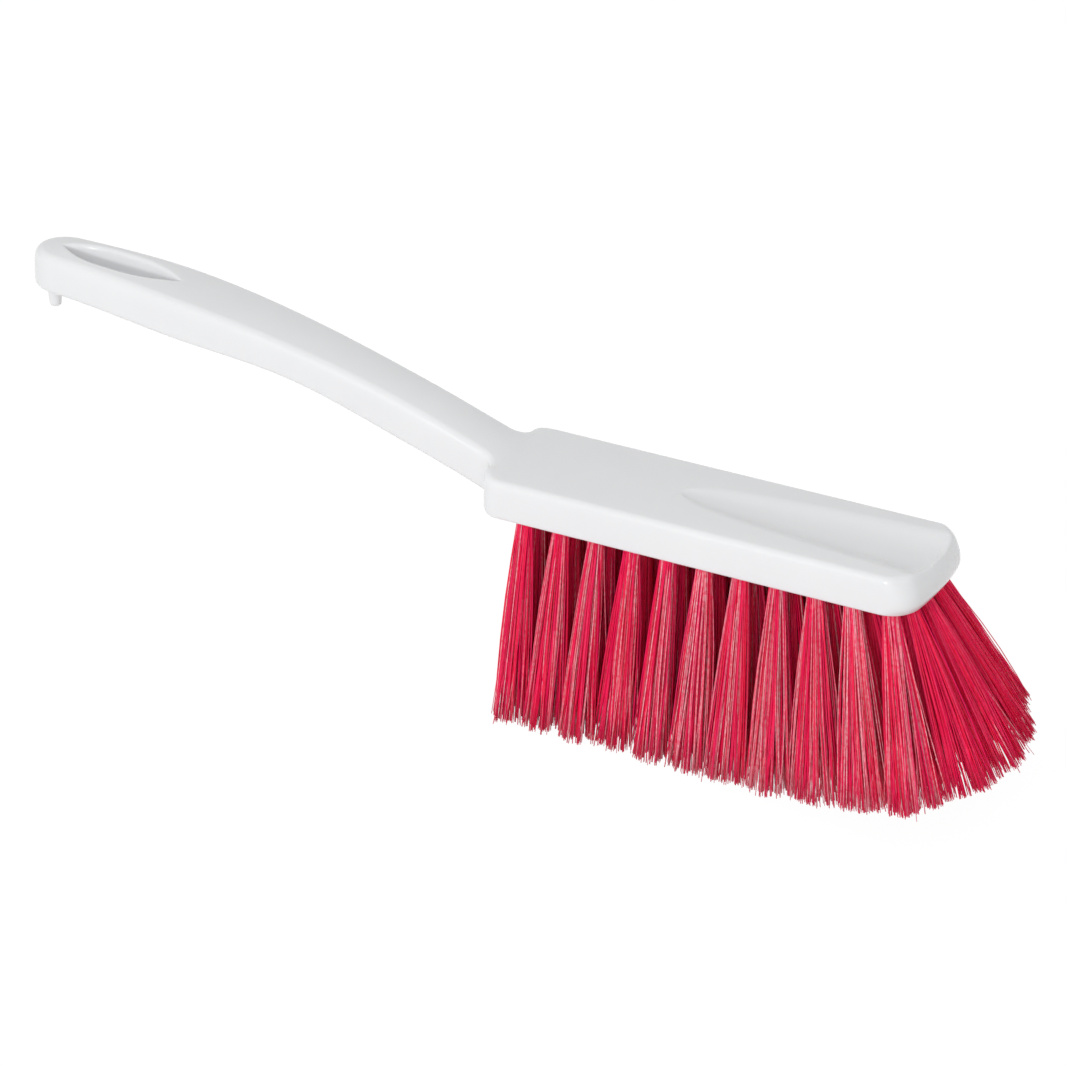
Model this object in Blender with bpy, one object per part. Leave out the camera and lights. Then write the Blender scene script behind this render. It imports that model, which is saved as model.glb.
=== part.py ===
"""Hand broom: one white plastic moulding, block and handle, with five rows of red bristle tufts.

Each tuft is a bundle folded over a flat anchor wire and driven into its own blind hole.
X runs from the handle's tip to the front of the block, Z is up, and the bristles stand on Z = 0.
"""
import math

import bmesh
import bpy
from mathutils import Matrix, Vector

# Block, in metres
BLOCK_LENGTH = 0.1567
BLOCK_WIDTH = 0.044
BLOCK_HEIGHT = 0.0133
FRONT_CORNER = 0.0088
FRONT_BOW = 0.0012
FOOT_INSET = 0.0015
FOOT_CORNER = 0.0105
FOOT_BOW = 0.0006
TOP_INSET = 0.0015
TOP_CORNER = 0.0081
TOP_BOW = 0.0015
WIDEST_LEVEL = 0.34
REAR_CORNER_PLACE = 0.0102
REAR_CORNER = 0.0071
NECK_FILLET = 0.0046
BLOCK_TOP_EDGE = 0.0023
BLOCK_BOTTOM_EDGE = 0.0012
SIDE_DRAFT = 0.0003
TOP_CROWN = 0.0006

# Handle
HANDLE_LENGTH = 0.175
HANDLE_RISE = 0.0356
HANDLE_ROOT = 0.0078
NECK_WIDTH = 0.0208
GRIP_WIDTH = 0.0258
TIP_WIDTH = 0.02
NECK_THICKNESS = 0.014
WAIST_THICKNESS = 0.012
GRIP_THICKNESS = 0.014
TIP_THICKNESS = 0.0133
NECK_PLACE = 0.2
WAIST_PLACE = 0.44
GRIP_PLACE = 0.685
TIP_ROUND = 0.0123
NECK_TOP_EDGE = 0.003
TIP_TOP_EDGE = 0.0034
HANDLE_BOTTOM_EDGE = 0.0015
TOP_BLEND = 0.0023
UNDER_BLEND = 0.0012
EDGES_CHANGE_OVER = 0.1

# Hanging slot, and the peg under the tip
SLOT_LENGTH = 0.0475
SLOT_WALL = 0.0071
SLOT_FROM_TIP = 0.0092
SLOT_TIP_POWER = 3.2
SLOT_NECK_POWER = 2.2
PEG_FROM_SLOT = 0.0007
PEG_LENGTH = 0.0095
PEG_DIAMETER = 0.0052
PEG_END_DIAMETER = 0.004

# Thumb recess in the block's top
RECESS_LENGTH = 0.086
RECESS_FRONT_RIM = 0.0051
RECESS_SIDE_LAND = 0.0075
RECESS_DEPTH = 0.0032
RECESS_FRONT_ROUND = 0.009
RECESS_FRONT_NARROWING = 0.35
RECESS_FRONT_RISE = 0.6
RECESS_WIDTH_POWER = 0.42
RECESS_DEPTH_POWER = 0.5
RECESS_BLUNT_END = 0.004

# Tufts
TUFT_ROWS = 5
TUFT_COLUMNS = 11
FIRST_TUFT = 0.0178
LAST_TUFT = 0.0109
SIDE_TUFT = 0.0064
FRONT_ARC = 0.003
HOLE_DIAMETER = 0.0055
HOLE_ROOF = 0.0031
BRISTLE_HEIGHT = 0.070
BRISTLE_TRIM = 0.0015
STRANDS_PER_TUFT = 8
STRAND_INSET = 0.00012
STRAND_SWELL = 1.15
INNER_STRAND_SHARE = 0.42
REAR_LEAN = math.radians(-1.5)
FRONT_LEAN = math.radians(33.0)
FRONT_CORNER_LEAN = math.radians(22.0)
SIDE_LEAN = math.radians(8.0)
FRONT_SIDE_LEAN = math.radians(24.0)
FAN_POWER = 4.0
FRONT_SHORTENING = 0.1

# Flat anchor wire, which holds a folded bundle down in its hole
ANCHOR_BITE = 0.0006
ANCHOR_THICKNESS = 0.0004
ANCHOR_HEIGHT = 0.0018

# Gap left between pieces that touch on the real broom
CLEARANCE = 0.0003

# Levels of the moulding's skin, in the order that each place of its outline lists them
FOOT = 0
WIDEST = 1
TOP = 2

# Number of flats on round stretches
CORNER_STEPS = 6
HANDLE_STEPS = 14
TIP_STEPS = 8
SLOT_STEPS = 12
RECESS_STEPS = 12
RECESS_ARC_STEPS = 8
PEG_SIDES = 12


def clear_scene():
    """Starts from an empty scene."""
    for item in list(bpy.data.objects):
        bpy.data.objects.remove(item, do_unlink=True)


def plastic(name, colour, roughness):
    """A plain dielectric material for one kind of plastic."""
    material = bpy.data.materials.new(name)
    material.use_nodes = True
    shader = material.node_tree.nodes["Principled BSDF"]
    shader.inputs["Base Color"].default_value = (*colour, 1.0)
    shader.inputs["Roughness"].default_value = roughness
    shader.inputs["Metallic"].default_value = 0.0
    return material


def white_polypropylene():
    """The satin white moulding."""
    return plastic("white_polypropylene", (0.80, 0.81, 0.82), 0.35)


def red_filament():
    """The crimson drawn filament of the bristles."""
    return plastic("red_filament", (0.60, 0.012, 0.07), 0.45)


def smooth_step(value):
    """Runs smoothly from 0 to 1 as the value does."""
    value = min(max(value, 0.0), 1.0)
    return value * value * (3.0 - 2.0 * value)


def handle_share(x, blend):
    """How far along the handle a place is: 0 in the block, 1 at the tip, eased in over the blend."""
    run = HANDLE_ROOT - x
    if run <= -blend:
        run = 0.0
    elif run < blend:
        run = (run + blend) ** 2 / (4.0 * blend)
    return min(run / (HANDLE_ROOT + HANDLE_LENGTH), 1.0)


def rise(x, blend):
    """Height gained by the handle, whose top and underside follow one parabola."""
    return HANDLE_RISE * (1.0 - (1.0 - handle_share(x, blend)) ** 2)


def top_height(x):
    """Height of the top surface's edges over the block's underside."""
    return BLOCK_HEIGHT + rise(x, TOP_BLEND)


def blended(share, places, sizes):
    """A size along the handle, which eases from each of the sizes to the next between their places."""
    size = sizes[0]
    for index in range(len(places) - 1):
        passed = smooth_step((share - places[index]) / (places[index + 1] - places[index]))
        size += (sizes[index + 1] - sizes[index]) * passed
    return size


def handle_thickness(x):
    """Thickness of the handle: slimmest at its waist, and full again under the grip."""
    places = (NECK_PLACE, WAIST_PLACE, GRIP_PLACE, 1.0)
    sizes = (NECK_THICKNESS, WAIST_THICKNESS, GRIP_THICKNESS, TIP_THICKNESS)
    return blended(handle_share(x, 0.0), places, sizes)


def under_height(x):
    """Height of the underside over the block's underside, which the handle leaves with a small blend."""
    height = BLOCK_HEIGHT + rise(x, 0.0) - handle_thickness(x)
    if height < -UNDER_BLEND:
        return 0.0
    if height < UNDER_BLEND:
        return (height + UNDER_BLEND) ** 2 / (4.0 * UNDER_BLEND)
    return height


def handle_half_width(x):
    """Half the handle's width, from the slim neck to the broad grip and in again to the tip."""
    places = (NECK_PLACE, GRIP_PLACE, 1.0)
    return blended(handle_share(x, 0.0), places, (NECK_WIDTH, GRIP_WIDTH, TIP_WIDTH)) / 2.0


def top_edge(x):
    """Radius along the top edges: small at the neck, and full on the block and at the tip."""
    share = handle_share(x, TOP_BLEND)
    on_handle = NECK_TOP_EDGE + (TIP_TOP_EDGE - NECK_TOP_EDGE) * smooth_step(share)
    return BLOCK_TOP_EDGE + (on_handle - BLOCK_TOP_EDGE) * smooth_step(share / EDGES_CHANGE_OVER)


def bottom_edge(x):
    """Radius along the bottom edges."""
    share = smooth_step(handle_share(x, 0.0) / EDGES_CHANGE_OVER)
    return BLOCK_BOTTOM_EDGE + (HANDLE_BOTTOM_EDGE - BLOCK_BOTTOM_EDGE) * share


def front_level(length, corner, bow):
    """The block's bowed front and its corner at one level, as (x, y, angle that the skin faces)."""
    half = BLOCK_WIDTH / 2.0
    turn = math.atan(2.0 * bow / (half - corner))
    flat = half - corner * (1.0 - math.sin(turn))
    points = []
    for share in (0.0, 0.5, 1.0):
        points.append((length - bow * share ** 2, flat * share, turn * share))
    for step in range(1, CORNER_STEPS + 1):
        angle = turn + (math.pi / 2.0 - turn) * step / CORNER_STEPS
        x = length - bow - corner * (math.cos(turn) - math.cos(angle))
        points.append((x, flat + corner * (math.sin(angle) - math.sin(turn)), angle))
    return points


def front_outline():
    """The block's front at the foot, at the widest level and at the top, place by place."""
    foot = front_level(BLOCK_LENGTH - FOOT_INSET, FOOT_CORNER, FOOT_BOW)
    widest = front_level(BLOCK_LENGTH, FRONT_CORNER, FRONT_BOW)
    top = front_level(BLOCK_LENGTH - TOP_INSET, TOP_CORNER, TOP_BOW)
    return list(zip(foot, widest, top))


def neck_outline():
    """The rounded shoulder of the block and the hollow fillet that leads into the handle."""
    drop = (BLOCK_WIDTH - NECK_WIDTH) / 2.0
    turn = math.acos(max(1.0 - drop / (REAR_CORNER + NECK_FILLET), 0.0))
    points = []
    for step in range(CORNER_STEPS + 1):
        angle = turn * step / CORNER_STEPS
        x = REAR_CORNER_PLACE - REAR_CORNER * math.sin(angle)
        y = BLOCK_WIDTH / 2.0 - REAR_CORNER * (1.0 - math.cos(angle))
        points.append((x, y, math.pi / 2.0 + angle))
    end = REAR_CORNER_PLACE - (REAR_CORNER + NECK_FILLET) * math.sin(turn)
    for step in range(CORNER_STEPS - 1, -1, -1):
        angle = turn * step / CORNER_STEPS
        y = NECK_WIDTH / 2.0 + NECK_FILLET * (1.0 - math.cos(angle))
        points.append((end + NECK_FILLET * math.sin(angle), y, math.pi / 2.0 + angle))
    return points


def handle_outline(start):
    """The handle's side from the neck to its tip, which is half an ellipse."""
    tip_start = TIP_ROUND - HANDLE_LENGTH
    points = []
    for step in range(1, HANDLE_STEPS):
        x = start + (tip_start - start) * step / HANDLE_STEPS
        points.append((x, handle_half_width(x), math.pi / 2.0))
    half = handle_half_width(tip_start)
    for step in range(TIP_STEPS):
        angle = math.pi / 2.0 * step / TIP_STEPS
        points.append((tip_start - TIP_ROUND * math.sin(angle), half * math.cos(angle), math.pi / 2.0 + angle))
    points.append((-HANDLE_LENGTH, 0.0, math.pi))
    return points


def body_layers():
    """The skin's layers from the underside up: its level, and its height and inset in edge radii."""
    layers = []
    for angle in (0.0, 45.0, 90.0):
        turn = math.radians(angle)
        layers.append((FOOT, 1.0 - math.cos(turn), 1.0 - math.sin(turn)))
    layers.append((WIDEST, 0.0, 0.0))
    for angle in (0.0, 30.0, 60.0, 90.0):
        turn = math.radians(angle)
        layers.append((TOP, 1.0 - math.sin(turn), 1.0 - math.cos(turn)))
    return layers


def layer_point(place, layer):
    """A point of the moulding's skin, on one layer at one place of its outline."""
    level, height_share, inset_share = layer
    x, y, angle = place[level]
    inset = 0.0
    if level == FOOT:
        inset = bottom_edge(x) * inset_share
    if level == TOP:
        inset = SIDE_DRAFT + top_edge(x) * inset_share
    point_x = x - math.cos(angle) * inset
    point_y = max(y - math.sin(angle) * inset, 0.0)
    low, high = under_height(point_x), top_height(point_x)
    if level == FOOT:
        return Vector((point_x, point_y, low + bottom_edge(x) * height_share))
    if level == TOP:
        return Vector((point_x, point_y, high - top_edge(x) * height_share))
    low, high = low + bottom_edge(x), high - top_edge(x)
    return Vector((point_x, point_y, low + (high - low) * WIDEST_LEVEL))


def half_columns(bm, outline, layers, side):
    """The vertices of one half, a list of layers for each place of the outline."""
    columns = []
    for place in outline:
        points = [layer_point(place, layer) for layer in layers]
        columns.append([bm.verts.new((p.x, side * p.y, p.z)) for p in points])
    return columns


def crowned_row(bm, right, left):
    """The top surface's vertices across the body, from one edge to the other, a little raised."""
    row = [right]
    for share in (0.5, 0.0, -0.5):
        middle = (right.co + left.co) / 2.0 + (right.co - left.co) / 2.0 * share
        middle.z += TOP_CROWN * (1.0 - share ** 2)
        row.append(bm.verts.new(middle))
    row.append(left)
    return row


def join_rows(bm, rows):
    """Fills the faces between neighbouring rows of vertices, down to triangles where rows meet."""
    for first, second in zip(rows, rows[1:]):
        for index in range(len(first) - 1):
            ring = []
            for vert in (first[index], first[index + 1], second[index + 1], second[index]):
                if vert not in ring:
                    ring.append(vert)
            if len(ring) > 2:
                bm.faces.new(ring)


def moulding_mesh():
    """The block and handle as one skin, before its holes, slot and recess."""
    behind = neck_outline()
    behind += handle_outline(behind[-1][0])
    outline = front_outline() + [(point, point, point) for point in behind]
    layers = body_layers()
    bm = bmesh.new()
    right = half_columns(bm, outline, layers, 1.0)
    left = half_columns(bm, outline, layers, -1.0)
    for end in (0, -1):
        for index, vert in enumerate(left[end]):
            bm.verts.remove(vert)
            left[end][index] = right[end][index]
    join_rows(bm, right)
    join_rows(bm, left)
    join_rows(bm, [[r[0], l[0]] for r, l in zip(right, left)])
    tops = [[right[0][-1]] * 5]
    tops += [crowned_row(bm, r[-1], l[-1]) for r, l in zip(right[1:-1], left[1:-1])]
    tops.append([right[-1][-1]] * 5)
    join_rows(bm, tops)
    bmesh.ops.recalc_face_normals(bm, faces=bm.faces)
    return finish_mesh(bm, "moulding")


def finish_mesh(bm, name):
    """Turns a bmesh into a mesh, shaded smooth with its sharp edges kept."""
    mesh = bpy.data.meshes.new(name)
    bm.to_mesh(mesh)
    bm.free()
    mesh.shade_smooth()
    mesh.set_sharp_from_angle(angle=math.radians(35.0))
    return mesh


def place_object(name, mesh, origin, location, material=None):
    """An object for a mesh, carried by the origin empty."""
    item = bpy.data.objects.new(name, mesh)
    bpy.context.collection.objects.link(item)
    item.parent = origin
    item.location = location
    if material:
        mesh.materials.append(material)
    return item


def cut_with(body, mesh, origin, location, operation):
    """Adds a Boolean to the body with a hidden wire object of the mesh."""
    cutter = place_object(mesh.name, mesh, origin, location)
    cutter.hide_render = True
    cutter.display_type = "WIRE"
    modifier = body.modifiers.new(mesh.name, "BOOLEAN")
    modifier.operation = operation
    modifier.object = cutter


def prism(bm, outline, low, high, turn=Matrix.Identity(3)):
    """A closed prism over an outline of (x, y), turned about the outline's origin."""
    floor = [bm.verts.new(turn @ Vector((x, y, low))) for x, y in outline]
    roof = [bm.verts.new(turn @ Vector((x, y, high))) for x, y in outline]
    bm.faces.new(list(reversed(floor)))
    bm.faces.new(roof)
    for index in range(len(outline)):
        after = (index + 1) % len(outline)
        bm.faces.new((floor[index], floor[after], roof[after], roof[index]))
    return floor + roof


def slot_mesh():
    """The lens-shaped hanging slot, which goes right through the handle."""
    half_length = SLOT_LENGTH / 2.0
    half_width = GRIP_WIDTH / 2.0 - SLOT_WALL
    centre = SLOT_FROM_TIP + half_length - HANDLE_LENGTH
    outline = []
    for side in (1.0, -1.0):
        for step in range(SLOT_STEPS):
            place = side * (1.0 - 2.0 * step / SLOT_STEPS)
            power = SLOT_NECK_POWER if place > 0.0 else SLOT_TIP_POWER
            outline.append((centre + place * half_length, side * half_width * (1.0 - abs(place) ** power)))
    bm = bmesh.new()
    low = min(under_height(centre - half_length), under_height(centre + half_length)) - GRIP_THICKNESS
    prism(bm, outline, low, low + HANDLE_RISE + 3.0 * GRIP_THICKNESS)
    bmesh.ops.recalc_face_normals(bm, faces=bm.faces)
    return finish_mesh(bm, "hanging_slot")


def recess_section(share):
    """Half width and depth of the thumb recess, from its rear end, 0, to its front end, 1."""
    round_from = 1.0 - RECESS_FRONT_ROUND / RECESS_LENGTH
    closing = 0.0
    if share > round_from:
        closing = 1.0 - math.sqrt(1.0 - ((share - round_from) / (1.0 - round_from)) ** 2)
    half_width = (BLOCK_WIDTH / 2.0 - RECESS_SIDE_LAND) * share ** RECESS_WIDTH_POWER
    depth = RECESS_DEPTH * share ** RECESS_DEPTH_POWER
    return half_width * (1.0 - RECESS_FRONT_NARROWING * closing), depth * (1.0 - RECESS_FRONT_RISE * closing)


def recess_mesh():
    """The scoop in the block's top that takes a thumb, open to the sky."""
    bm = bmesh.new()
    rings = []
    start = BLOCK_LENGTH - RECESS_FRONT_RIM - RECESS_LENGTH
    for step in range(RECESS_STEPS + 1):
        spread = math.sin(math.pi / 2.0 * step / RECESS_STEPS) ** 1.5
        share = RECESS_BLUNT_END + (1.0 - RECESS_BLUNT_END) * spread
        half_width, depth = recess_section(min(share, 1.0))
        x = start + RECESS_LENGTH * share
        ring = []
        for place in range(RECESS_ARC_STEPS + 1):
            across = 2.0 * place / RECESS_ARC_STEPS - 1.0
            z = BLOCK_HEIGHT + TOP_CROWN - depth * (1.0 - across ** 2) - TOP_CROWN * across ** 2
            ring.append(bm.verts.new((x, half_width * across, z)))
        for across in (1.0, -1.0):
            ring.append(bm.verts.new((x, half_width * across, BLOCK_HEIGHT + BLOCK_TOP_EDGE)))
        rings.append(ring)
    bm.faces.new(rings[0])
    bm.faces.new(rings[-1])
    join_rows(bm, [ring + ring[:1] for ring in rings])
    bmesh.ops.recalc_face_normals(bm, faces=bm.faces)
    return finish_mesh(bm, "thumb_recess")


def peg_mesh():
    """The short blunt peg under the tip."""
    centre = SLOT_FROM_TIP - PEG_FROM_SLOT - PEG_DIAMETER / 2.0 - HANDLE_LENGTH
    root = under_height(centre)
    root_radius = PEG_DIAMETER / 2.0
    end_radius = PEG_END_DIAMETER / 2.0
    profile = [(root_radius, TIP_THICKNESS / 4.0), (end_radius, end_radius * 0.6 - PEG_LENGTH)]
    profile += [(end_radius * 0.75, end_radius * 0.2 - PEG_LENGTH), (end_radius * 0.35, -PEG_LENGTH)]
    bm = bmesh.new()
    rows = []
    for radius, height in profile:
        row = []
        for side in range(PEG_SIDES):
            angle = 2.0 * math.pi * side / PEG_SIDES
            row.append(bm.verts.new((centre + radius * math.cos(angle), radius * math.sin(angle), root + height)))
        rows.append(row)
    bm.faces.new(rows[0])
    bm.faces.new(rows[-1])
    join_rows(bm, [row + row[:1] for row in rows])
    bmesh.ops.recalc_face_normals(bm, faces=bm.faces)
    return finish_mesh(bm, "tip_peg")


def hole_depth():
    """How deep a tuft hole runs, which leaves its roof under the thumb recess."""
    return BLOCK_HEIGHT - RECESS_DEPTH - HOLE_ROOF


def flats(radius, count):
    """Corners of a regular outline that has a flat facing +X and another facing -X."""
    corners = []
    for index in range(count):
        angle = 2.0 * math.pi * (index - 0.5) / count
        corners.append((radius * math.cos(angle), radius * math.sin(angle)))
    return corners


def hole_outline():
    """A tuft hole, with the groove that the anchor wire cuts down both its sides."""
    radius = HOLE_DIAMETER / 2.0
    half_groove = ANCHOR_THICKNESS / 2.0 + CLEARANCE
    groove_end = radius + ANCHOR_BITE + CLEARANCE
    corners = flats(radius, STRANDS_PER_TUFT)
    middle = STRANDS_PER_TUFT // 2
    outline = []
    for index, corner in enumerate(corners):
        outline.append(corner)
        if index in (0, middle):
            side = 1.0 if index == 0 else -1.0
            wall = side * corners[0][0]
            end = side * groove_end
            outline += [(wall, -side * half_groove), (end, -side * half_groove)]
            outline += [(end, side * half_groove), (wall, side * half_groove)]
    return outline


def tuft_places():
    """Each tuft's name, hole mouth, axis pointing down, bristle length, and side of the broom."""
    places = []
    for row in range(TUFT_ROWS):
        across = 2.0 * row / (TUFT_ROWS - 1) - 1.0
        y = across * (BLOCK_WIDTH / 2.0 - SIDE_TUFT)
        front_lean = FRONT_LEAN + (FRONT_CORNER_LEAN - FRONT_LEAN) * across ** 2
        for column in range(TUFT_COLUMNS):
            fan = (column / (TUFT_COLUMNS - 1)) ** FAN_POWER
            x = FIRST_TUFT + tuft_pitch() * column + FRONT_ARC * (1.0 - across ** 2) * fan
            lean = REAR_LEAN + (front_lean - REAR_LEAN) * fan
            side_lean = (SIDE_LEAN + (FRONT_SIDE_LEAN - SIDE_LEAN) * fan) * across
            axis = Vector((math.tan(lean), math.tan(side_lean), -1.0)).normalized()
            length = (BRISTLE_HEIGHT + BRISTLE_TRIM) * (1.0 - FRONT_SHORTENING * fan)
            name = f"tuft_row{row + 1}_{column + 1:02d}"
            places.append((name, Vector((x, y, 0.0)), axis, length, y > 0.0))
    return places


def tuft_pitch():
    """Distance from one tuft to the next along a row."""
    return (BLOCK_LENGTH - FIRST_TUFT - LAST_TUFT) / (TUFT_COLUMNS - 1)


def tuft_reach():
    """How far a tuft may fan out at the floor before it meets the next tuft or row."""
    row_pitch = (BLOCK_WIDTH - 2.0 * SIDE_TUFT) / (TUFT_ROWS - 1)
    floor_row_pitch = row_pitch + BRISTLE_HEIGHT * math.tan(2.0 * SIDE_LEAN / (TUFT_ROWS - 1))
    return min(tuft_pitch(), floor_row_pitch) / 2.0 - CLEARANCE


def along(axis):
    """The turn that takes a hole drilled straight up to one drilled along a tuft's axis."""
    return Vector((0.0, 0.0, -1.0)).rotation_difference(axis).to_matrix()


def holes_mesh():
    """All the blind tuft holes, as one cutter."""
    bm = bmesh.new()
    outline = hole_outline()
    for _, mouth, axis, _, _ in tuft_places():
        verts = prism(bm, outline, -HOLE_DIAMETER, hole_depth(), along(axis))
        bmesh.ops.translate(bm, verts=verts, vec=mouth)
    bmesh.ops.recalc_face_normals(bm, faces=bm.faces)
    return finish_mesh(bm, "tuft_holes")


def add_anchor_ends(bm, faces):
    """Draws the anchor wire's two ends out of the bundle's sides, near the hole's blind end."""
    top = hole_depth() - 2.0 * CLEARANCE
    reach = HOLE_DIAMETER / 2.0 + ANCHOR_BITE
    for face in faces:
        side = 1.0 if face.calc_center_median().x > 0.0 else -1.0
        bmesh.ops.inset_individual(bm, faces=[face], thickness=CLEARANCE)
        for vert in face.verts:
            upper = vert.co.z > hole_depth() / 2.0
            right = vert.co.y > 0.0
            vert.co.y = ANCHOR_THICKNESS / 2.0 * (1.0 if right else -1.0)
            vert.co.z = top if upper else top - ANCHOR_HEIGHT
        ends = bmesh.ops.extrude_discrete_faces(bm, faces=[face])["faces"]
        for vert in ends[0].verts:
            vert.co.x = side * reach


def strand_tip(corner, middle, outer, axis, length):
    """Where one corner of a strand ends: fanned out from its root, and trimmed level at the floor."""
    swelling = (corner - middle) * STRAND_SWELL
    reach = tuft_reach() - (HOLE_DIAMETER / 2.0 - middle.xy.length) * STRAND_SWELL
    if not outer:
        reach *= INNER_STRAND_SHARE
    spot = middle.xy.normalized() * reach + swelling.xy
    drop = min(length * -axis.z, BRISTLE_HEIGHT)
    fall = axis / -axis.z * drop
    return Vector((spot.x + fall.x, spot.y + fall.y, -drop))


def tuft_mesh(name, axis, length, far_side):
    """A bundle of strands, fused at their roots into the slice that fills the hole."""
    bm = bmesh.new()
    radius = HOLE_DIAMETER / 2.0 - CLEARANCE
    outline = flats(radius, STRANDS_PER_TUFT)
    floor = [bm.verts.new((x, y, 0.0)) for x, y in outline]
    roof = [bm.verts.new((x, y, hole_depth() - CLEARANCE)) for x, y in outline]
    bm.faces.new(roof)
    sides = []
    for index in range(STRANDS_PER_TUFT):
        after = (index + 1) % STRANDS_PER_TUFT
        sides.append(bm.faces.new((floor[index], floor[after], roof[after], roof[index])))
    centre = bm.verts.new((0.0, 0.0, 0.0))
    roots = []
    for index in range(STRANDS_PER_TUFT):
        after = (index + 1) % STRANDS_PER_TUFT
        roots.append(bm.faces.new((floor[after], floor[index], centre)))
    bmesh.ops.recalc_face_normals(bm, faces=bm.faces)
    add_anchor_ends(bm, [sides[0], sides[STRANDS_PER_TUFT // 2]])
    bmesh.ops.inset_individual(bm, faces=roots, thickness=STRAND_INSET)
    turn = along(axis)
    corners = {}
    for index, root in enumerate(roots):
        outer = (index + far_side) % 2 == 0
        middle = root.calc_center_median()
        tips = bmesh.ops.extrude_discrete_faces(bm, faces=[root])["faces"]
        for vert in tips[0].verts:
            corners[vert] = strand_tip(vert.co, middle, outer, axis, length)
    for vert in bm.verts:
        vert.co = corners[vert] if vert in corners else turn @ vert.co
    bmesh.ops.recalc_face_normals(bm, faces=bm.faces)
    return finish_mesh(bm, name)


def build_body(origin):
    """The white moulding with its recess, slot, peg and tuft holes."""
    underside = Vector((0.0, 0.0, BRISTLE_HEIGHT))
    body = place_object("moulded_body", moulding_mesh(), origin, underside, white_polypropylene())
    cut_with(body, peg_mesh(), origin, underside, "UNION")
    cut_with(body, recess_mesh(), origin, underside, "DIFFERENCE")
    cut_with(body, slot_mesh(), origin, underside, "DIFFERENCE")
    cut_with(body, holes_mesh(), origin, underside, "DIFFERENCE")


def build_tufts(origin):
    """Every tuft as its own piece. Gives back how far forward the bristles reach."""
    material = red_filament()
    reach = BLOCK_LENGTH
    for name, mouth, axis, length, far_side in tuft_places():
        mesh = tuft_mesh(name, axis, length, far_side)
        place_object(name, mesh, origin, mouth + Vector((0.0, 0.0, BRISTLE_HEIGHT)), material)
        reach = max(reach, max(mouth.x + vert.co.x for vert in mesh.vertices))
    return reach


def build_broom():
    """The whole broom, with its origin under the middle of its length."""
    clear_scene()
    origin = bpy.data.objects.new("broom_origin", None)
    bpy.context.collection.objects.link(origin)
    build_body(origin)
    front = build_tufts(origin)
    origin.location.x = (HANDLE_LENGTH - front) / 2.0


build_broom()
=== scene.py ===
import math

import bmesh
import bpy
import numpy as np
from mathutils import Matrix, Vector


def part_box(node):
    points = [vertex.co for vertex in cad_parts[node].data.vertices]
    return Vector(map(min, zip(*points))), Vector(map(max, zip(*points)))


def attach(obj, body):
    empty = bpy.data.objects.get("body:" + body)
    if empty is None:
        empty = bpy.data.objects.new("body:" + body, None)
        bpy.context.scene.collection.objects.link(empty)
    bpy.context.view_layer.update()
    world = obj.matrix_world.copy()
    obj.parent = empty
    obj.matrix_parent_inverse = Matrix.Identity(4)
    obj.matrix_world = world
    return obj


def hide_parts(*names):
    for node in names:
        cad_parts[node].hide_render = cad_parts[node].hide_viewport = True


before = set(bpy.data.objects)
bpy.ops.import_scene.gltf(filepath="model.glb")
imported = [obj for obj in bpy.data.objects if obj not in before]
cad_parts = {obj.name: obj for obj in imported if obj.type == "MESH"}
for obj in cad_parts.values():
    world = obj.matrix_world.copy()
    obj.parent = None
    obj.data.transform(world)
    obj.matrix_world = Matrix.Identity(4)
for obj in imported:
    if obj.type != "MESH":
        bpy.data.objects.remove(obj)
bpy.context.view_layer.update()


# Moulded block and handle
#
# The real piece is one injection moulding in white polypropylene: the block, the curved handle with
# its hanging slot and peg, and the thumb recess in the block's top. Its edges are all rounded, so
# that it can be wiped clean, and the tuft holes are drilled into its flat underside.

# Block, in metres, as all sizes here are. Its walls bulge, so that its foot and its top are drawn in
BLOCK_LENGTH = 0.1567
BLOCK_WIDTH = 0.044
BLOCK_HEIGHT = 0.0133
FRONT_CORNER = 0.0088
FRONT_BOW = 0.0012
FOOT_INSET = 0.0015
FOOT_CORNER = 0.0105
FOOT_BOW = 0.0006
TOP_INSET = 0.0015
TOP_CORNER = 0.0081
TOP_BOW = 0.0015
WIDEST_LEVEL = 0.34
REAR_CORNER_PLACE = 0.0102
REAR_CORNER = 0.0071
NECK_FILLET = 0.0046
BLOCK_TOP_EDGE = 0.0023
CORNER_TOP_SWELL = 0.0012
BLOCK_BOTTOM_EDGE = 0.0012
SIDE_DRAFT = 0.0003
TOP_CROWN = 0.0006
CROWN_END = 0.016
CROWN_FADE = 0.012

# Handle, which rises from the block in one bow. Its places are shares of the way to the tip
HANDLE_LENGTH = 0.175
HANDLE_RISE = 0.0356
HANDLE_ROOT = 0.0078
NECK_WIDTH = 0.0208
GRIP_WIDTH = 0.0258
TIP_WIDTH = 0.02
NECK_THICKNESS = 0.014
WAIST_THICKNESS = 0.012
GRIP_THICKNESS = 0.014
TIP_THICKNESS = 0.0133
NECK_PLACE = 0.2
WAIST_PLACE = 0.44
GRIP_PLACE = 0.685
TIP_ROUND = 0.0123
NECK_TOP_EDGE = 0.003
TIP_TOP_EDGE = 0.0034
HANDLE_BOTTOM_EDGE = 0.0015
TOP_BLEND = 0.0023
UNDER_BLEND = 0.0012
EDGES_CHANGE_OVER = 0.1

# Hanging slot, lens shaped, blunter at the tip's end than at the neck's
SLOT_LENGTH = 0.0475
SLOT_WIDTH = 0.014
SLOT_FROM_TIP = 0.0092
SLOT_TIP_POWER = 3.2
SLOT_NECK_POWER = 2.2
SLOT_TOP_RIM = 0.0016
SLOT_UNDER_RIM = 0.0008
SLOT_MIDDLE = SLOT_FROM_TIP + SLOT_LENGTH / 2.0 - HANDLE_LENGTH

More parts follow.
